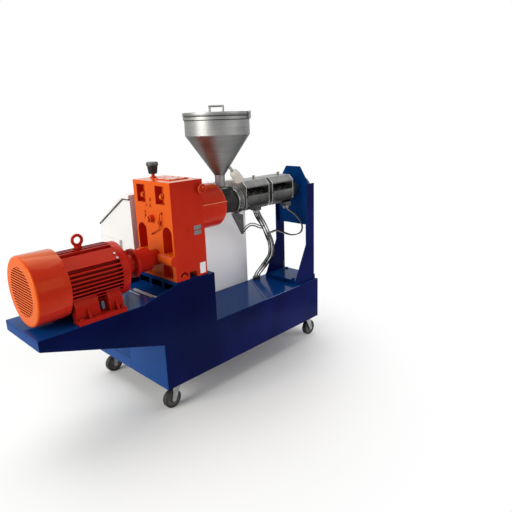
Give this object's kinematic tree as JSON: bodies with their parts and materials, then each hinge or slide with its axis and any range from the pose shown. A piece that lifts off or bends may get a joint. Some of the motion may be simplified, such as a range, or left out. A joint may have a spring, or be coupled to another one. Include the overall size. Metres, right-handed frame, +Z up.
{
  "type": "industrial extruder",
  "caption": "Single-screw plastics extruder on a wheeled sheet-steel base: finned motor, cast gearbox, hopper-fed heated barrel, end stand and control console.",
  "frame": {"origin": "on the floor, at the centre of the machine's box", "axes": "+X along the barrel from motor to outlet, +Y to the console side, +Z up"},
  "size_m": [1.89, 0.718, 1.5373],
  "materials": {
    "navy_paint": "glossy enamel",
    "orange_paint": "glossy enamel",
    "pale_paint": "fine powder coat",
    "stainless": "brushed stainless steel",
    "cover_steel": "bright sheet steel",
    "dark_steel": "dark machined steel",
    "band_steel": "heat-darkened",
    "zinc": "zinc plated",
    "wheel_rubber": "matt",
    "black_plastic": "matt",
    "cable_rubber": "matt",
    "hose_braid": "steel braid"
  },
  "bodies": {
    "machine": {"base_near_panel": "navy_paint", "base_far_panel": "navy_paint", "base_left_panel": "navy_paint", "base_right_panel": "navy_paint", "base_top_plate": "navy_paint", "base_floor": "navy_paint", "bed_top_plate": "navy_paint", "bed_end_plate": "navy_paint", "bed_under_plate": "navy_paint", "pedestal_front_frame": "navy_paint", "pedestal_cover": "navy_paint", "pedestal_right_plate": "navy_paint", "gearbox_sole_plate": "navy_paint", "deck_plate": "navy_paint", "stand_foot": "navy_paint", "stand_near_plate": "navy_paint", "stand_far_plate": "navy_paint", "stand_cross_plate": "navy_paint", "console_plinth": "navy_paint", "console_body": "pale_paint", "console_desk": "pale_paint", "console_doors": "pale_paint", "motor_frame": "orange_paint", "motor_cowl": "orange_paint", "motor_end_shield": "orange_paint", "motor_terminal_box": "orange_paint", "motor_eye_bolt": "orange_paint", "coupling_drum": "orange_paint", "gearbox_housing": "orange_paint", "gearbox_cover": "orange_paint", "gearbox_output_housing": "orange_paint", "gearbox_breather": "black_plastic", "gearbox_lifting_eye": "orange_paint", "feed_throat": "dark_steel", "barrel": "dark_steel", "barrel_flange_drum": "dark_steel", "heater_bands": "band_steel", "heater_cover_1": "cover_steel", "heater_cover_2": "cover_steel", "heater_end_plates": "cover_steel", "heater_terminals": "dark_steel", "cable_bracket": "dark_steel", "die_adapter": "dark_steel", "hopper_shell": "stainless", "hopper_cone": "stainless", "caster_plates": "zinc", "cable_gland": "black_plastic", "cable_bundle": "cable_rubber", "probe_hose": "hose_braid", "bracket_cable": "cable_rubber"},
    "lid": {"hopper_lid": "stainless", "lid_handle": "stainless"},
    "swivel_1": {"caster_fork_1": "zinc"},
    "wheel_1": {"caster_wheel_1": "wheel_rubber"},
    "swivel_2": {"caster_fork_2": "zinc"},
    "wheel_2": {"caster_wheel_2": "wheel_rubber"},
    "swivel_3": {"caster_fork_3": "zinc"},
    "wheel_3": {"caster_wheel_3": "wheel_rubber"},
    "swivel_4": {"caster_fork_4": "zinc"},
    "wheel_4": {"caster_wheel_4": "wheel_rubber"}
  },
  "joints": [
    {"name": "lid_hinge", "type": "hinge", "parent": "machine", "child": "lid", "pos_m": [0.35618, -0.0319, 1.496], "axis": [-0.6947, 0.7193, 0], "range_deg": [0, 105]},
    {"name": "caster_swivel_1", "type": "hinge", "parent": "machine", "child": "swivel_1", "pos_m": [-0.28, -0.281, 0.125], "axis": [0, 0, 1], "continuous": true},
    {"name": "caster_roll_1", "type": "hinge", "parent": "swivel_1", "child": "wheel_1", "pos_m": [-0.305, -0.281, 0.05], "axis": [0, 1, 0], "continuous": true},
    {"name": "caster_swivel_2", "type": "hinge", "parent": "machine", "child": "swivel_2", "pos_m": [0.8375, -0.281, 0.125], "axis": [0, 0, 1], "continuous": true},
    {"name": "caster_roll_2", "type": "hinge", "parent": "swivel_2", "child": "wheel_2", "pos_m": [0.8625, -0.281, 0.05], "axis": [0, 1, 0], "continuous": true},
    {"name": "caster_swivel_3", "type": "hinge", "parent": "machine", "child": "swivel_3", "pos_m": [-0.28, 0.307, 0.125], "axis": [0, 0, 1], "continuous": true},
    {"name": "caster_roll_3", "type": "hinge", "parent": "swivel_3", "child": "wheel_3", "pos_m": [-0.305, 0.307, 0.05], "axis": [0, 1, 0], "continuous": true},
    {"name": "caster_swivel_4", "type": "hinge", "parent": "machine", "child": "swivel_4", "pos_m": [0.52475, 0.307, 0.125], "axis": [0, 0, 1], "continuous": true},
    {"name": "caster_roll_4", "type": "hinge", "parent": "swivel_4", "child": "wheel_4", "pos_m": [0.49975, 0.307, 0.05], "axis": [0, 1, 0], "continuous": true}
  ]
}
